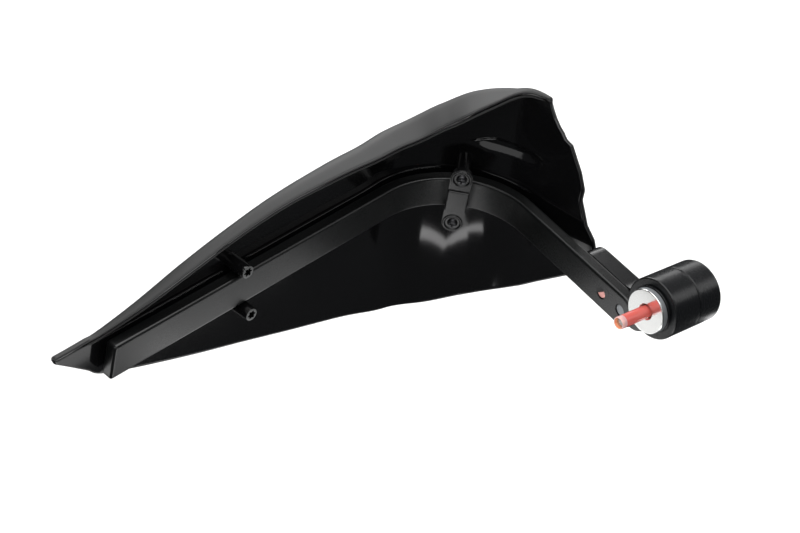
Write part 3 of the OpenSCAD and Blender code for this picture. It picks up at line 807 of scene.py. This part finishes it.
# %% Saddle clamp
CLAMP_R, FOOT_Y, FOOT_T, BLOCK_HALF = 5.75, -7.3, 3.0, 6.6
CLAMP = finish("moulded_clamp_plastic", "#0d0d0e", 0.24, grain_mm=0.3, grain=0.03, bump=0.08)
strap = np.concatenate([
    arc((0, CLAMP_Z), CLAMP_R, 0, np.pi, 32), arc((0, -CLAMP_Z), CLAMP_R, np.pi, 2 * np.pi, 32)])
plate("clamp_strap", strap, [(0, CLAMP_Z, 1.9), (0, -CLAMP_Z, 1.9)], FOOT_Y, FOOT_Y + FOOT_T, at_clamp, 0.7,
      CLAMP, ["saddle_clamp"])
dish = fillet([[FOOT_Y + 1.0, 2.0], [FOOT_Y + 0.3, 3.3], [FOOT_Y - 0.6, 4.6], [FOOT_Y - 0.6, 5.3],
               [FOOT_Y + 1.0, CLAMP_R]], [0, 0.8, 0.25, 0.5, 0])
for name, z in (("clamp_foot_upper", CLAMP_Z), ("clamp_foot_lower", -CLAMP_Z)):
    p, f = revolve(supported(dish), 96)
    foot = at_clamp(np.stack([p[..., 1], p[..., 0], z + p[..., 2]], -1))
    piece(name, metres(foot), f, CLAMP)
block = np.array([[-1, -1], [1, -1], [1, 1], [-1, 1]]) * [CLAMP_R, BLOCK_HALF]
plate("clamp_block", fillet(block, [0.8] * 4), [], FOOT_Y - 1.2, -0.2, at_clamp, 0.9, CLAMP)

# %% [markdown]
# Two small pan screws hold the clamp. Their cross recess could be cut out of the dome, but a polar grid whose
# height drops inside the cross gives the same look in one surface.

# %% Clamp screws
def pan_screw(z, name, stands_for, r_head=2.8):
    """Height = dome of radius r_head - 1.3 inside the cross, on a polar grid, with a side and a closed back."""
    r = np.linspace(0, r_head, 30)[:, None]
    a = np.linspace(0, 2 * np.pi, 96, endpoint=False)[None, :]
    x, y = r * np.cos(a), r * np.sin(a)
    dome = 1.9 * np.sqrt(np.clip(1 - (r / 3.2) ** 2, 0, 1)) * (0.25 + 0.75 * (1 - smooth(r, 2.3, r_head)))
    cross = np.maximum(1 - smooth(abs(x), 0.3, 0.45), 1 - smooth(abs(y), 0.3, 0.45)) * (1 - smooth(r, 1.3, 1.6))
    top = np.stack(np.broadcast_arrays(x, FOOT_Y - dome + 1.3 * cross, z + y), -1)
    level = np.full_like(a, FOOT_Y + 0.2)
    side = np.stack(np.broadcast_arrays(r_head * np.cos(a), level, z + r_head * np.sin(a)), -1)
    p = np.concatenate([top, side, np.broadcast_to([0, FOOT_Y + 0.2, z], side.shape)])
    faces = grid_faces(len(p), 96, wrap_cols=True)
    piece(name, metres(at_clamp(p)), faces, BLACK_STEEL, [stands_for])
    print(name, "faces:", len(faces))


pan_screw(CLAMP_Z, "pan_screw_upper", "clamp_screw_upper")
pan_screw(-CLAMP_Z, "pan_screw_lower", "clamp_screw_lower")

# %% [markdown]
# The guard hangs by its bolt, so the floor is a plain pale sheet half a metre below it. It doesn't show in
# reflections: gloss black would mirror it and turn grey. The room is dim for the same reason.

# %% Floor and room
FLOOR_Z, FLOOR_SIDE = -0.5, 8
floor_mesh = bpy.data.meshes.new("floor")
corners = [(x * FLOOR_SIDE, y * FLOOR_SIDE, FLOOR_Z) for x, y in ((-1, -1), (1, -1), (1, 1), (-1, 1))]
floor_mesh.from_pydata(corners, [], [(0, 1, 2, 3)])
floor_mesh.materials.append(finish("pale_paper", "#f6f6f5", 0.9, grain_mm=2.0, grain=0.02))
floor = bpy.data.objects.new("floor", floor_mesh)
bpy.context.scene.collection.objects.link(floor)
floor.visible_glossy = False

world = bpy.data.worlds.new("dim_room")
world.use_nodes = True
room = world.node_tree.nodes["Background"]
room.inputs["Color"].default_value = (0.92, 0.96, 1.0, 1)
room.inputs["Strength"].default_value = 0.07
bpy.context.scene.world = world
print("floor's height, m:", FLOOR_Z)

# %% [markdown]
# Gloss black shows only what it reflects, so the light is a set of soft panels, each where one surface looks
# for it. The overhead one whitens the floor. The back one lies where the shell's top band reflects, and the
# sweep, side and front ones give the weight, the arm and the scoop their soft gradients.

# %% Large panels
def panel(name, at, aim, size, radiance):
    """A soft rectangle at a point, facing another; power = pi x area x radiance. The camera doesn't see it."""
    light = bpy.data.lights.new(name, "AREA")
    light.shape, light.size, light.size_y = "RECTANGLE", size[0], size[1]
    light.energy = np.pi * size[0] * size[1] * radiance
    made = bpy.data.objects.new(name, light)
    z = unit(np.array(at, float) - np.array(aim, float))
    x = unit(np.cross([0, 0, 1], z) + np.array([1e-6, 0, 0]))
    m = np.eye(4)
    m[:3, :3], m[:3, 3] = np.stack([x, np.cross(z, x), z], 1), at
    made.matrix_world = Matrix(m.tolist())
    made.visible_camera = False
    bpy.context.scene.collection.objects.link(made)


panel("overhead", (-0.1, 0.0, 2.2), (-0.1, 0.0, 0), (2.2, 3.0), 3.0)
panel("back", (0.45, 1.3, 0.7), (0, 0.1, 0), (1.0, 0.8), 4.3)
panel("sweep", (1.8, 0.4, 0.6), (1.8, 0.4, 0), (1.8, 2.4), 2.4)
panel("side", (0.75, -0.55, 0.8), (0, 0, 0), (0.5, 0.4), 1.2)
panel("front", (-1.2, -0.45, 0.8), (0, 0.05, 0), (2.4, 0.9), 1.0)
print("large panels:", len(bpy.data.lights))

# %% [markdown]
# Seen from above, the bar and the wall look down, past the part. So small cards lie under it, facing up, where
# those reflections land. Three strips make the bar's long gradient. Five single cards serve the shell's tip,
# the bar's tail and end, the spacer's bright face and the weight. The last three make the bent bright patch
# under the clamp, as a window would.

# %% Cards below the part
CARD_Z, NEAR_Z = -0.15, -0.05


def card(name, x0, x1, y0, y1, z, radiance):
    """A panel that faces straight up, between two x and two y at height z, in metres."""
    at = ((x0 + x1) / 2, (y0 + y1) / 2)
    panel(name, (*at, z), (*at, z + 1), (x1 - x0, y1 - y0), radiance)


card("strip_left", -0.109, -0.075, 0.02, 0.12, CARD_Z, 2.5)
card("strip_middle", -0.075, -0.02, 0.02, 0.12, CARD_Z, 1.5)
card("strip_right", -0.02, 0.045, 0.022, 0.11, CARD_Z, 1.2)
card("tip_card", -0.142, -0.109, -0.002, 0.033, CARD_Z, 1.5)
card("tail_card", -0.09, -0.04, 0.12, 0.155, CARD_Z, 1.4)
card("end_card", -0.42, -0.31, 0.17, 0.31, CARD_Z, 2.2)
card("silver_card", -0.075, -0.022, 0.018, 0.068, NEAR_Z, 0.85)
card("weight_card", 0.072, 0.15, -0.03, 0.06, NEAR_Z, 2.2)
card("window_near", -0.172, -0.032, -0.128, -0.075, CARD_Z, 4.6)
card("window_far", -0.178, -0.145, -0.075, 0.02, CARD_Z, 4.6)
card("window_tip", -0.162, -0.145, 0.02, 0.08, CARD_Z, 4.6)
print("lights in all:", len(bpy.data.lights))
